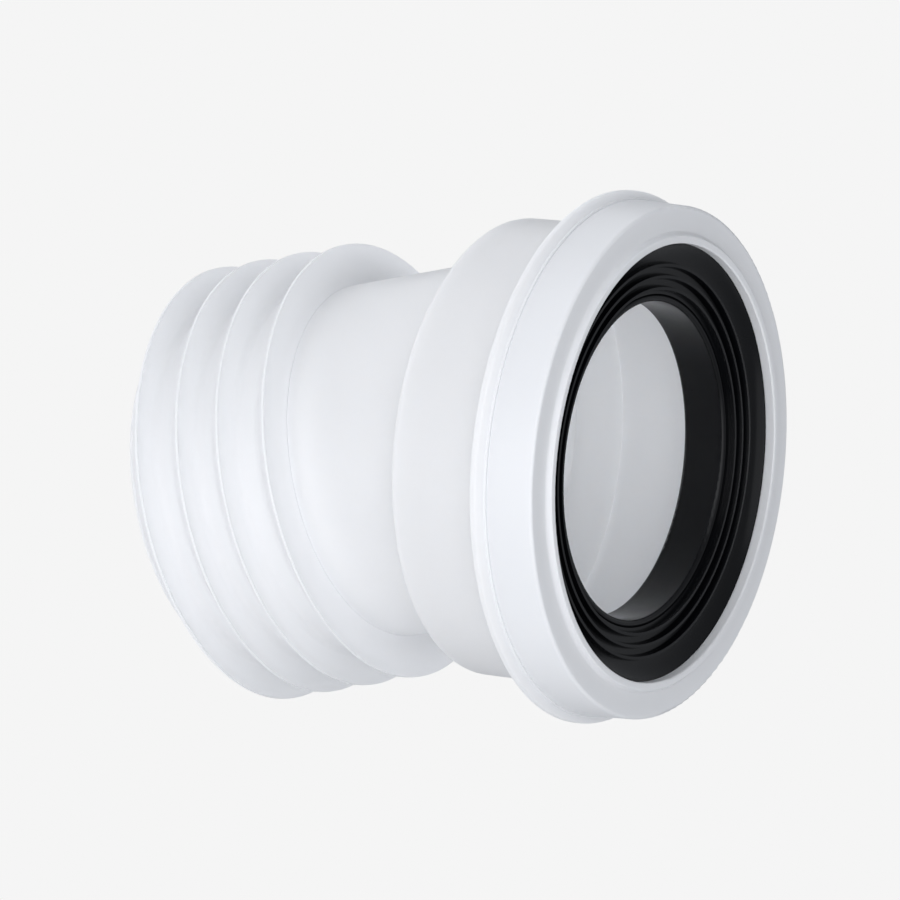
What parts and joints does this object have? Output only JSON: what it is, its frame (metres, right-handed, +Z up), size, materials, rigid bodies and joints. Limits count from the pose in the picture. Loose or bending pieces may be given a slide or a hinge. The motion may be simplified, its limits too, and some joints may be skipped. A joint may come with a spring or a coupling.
{
  "type": "toilet pan connector",
  "caption": "Angled waste connector: a wide socket with a ribbed push-fit seal under a retaining cap, stepping down to a tilted spigot with a finned outlet seal.",
  "frame": {"origin": "on the socket's axis, at the front end of the pan seal's round bore", "axes": "+X along the socket's axis and out of its mouth, +Z up; the spigot leaves towards -X and dips below X by the bend angle, in the XZ plane"},
  "size_m": [0.1432, 0.1384, 0.1414],
  "materials": {
    "white_moulding": "satin moulded polypropylene",
    "white_cap": "satin moulded polypropylene",
    "black_rubber": "soft sheen",
    "white_rubber": "soft matte"
  },
  "bodies": {
    "root": {"connector_body": "white_moulding", "retaining_cap": "white_cap", "pan_seal": "black_rubber", "finned_seal": "white_rubber"}
  },
  "joints": []
}
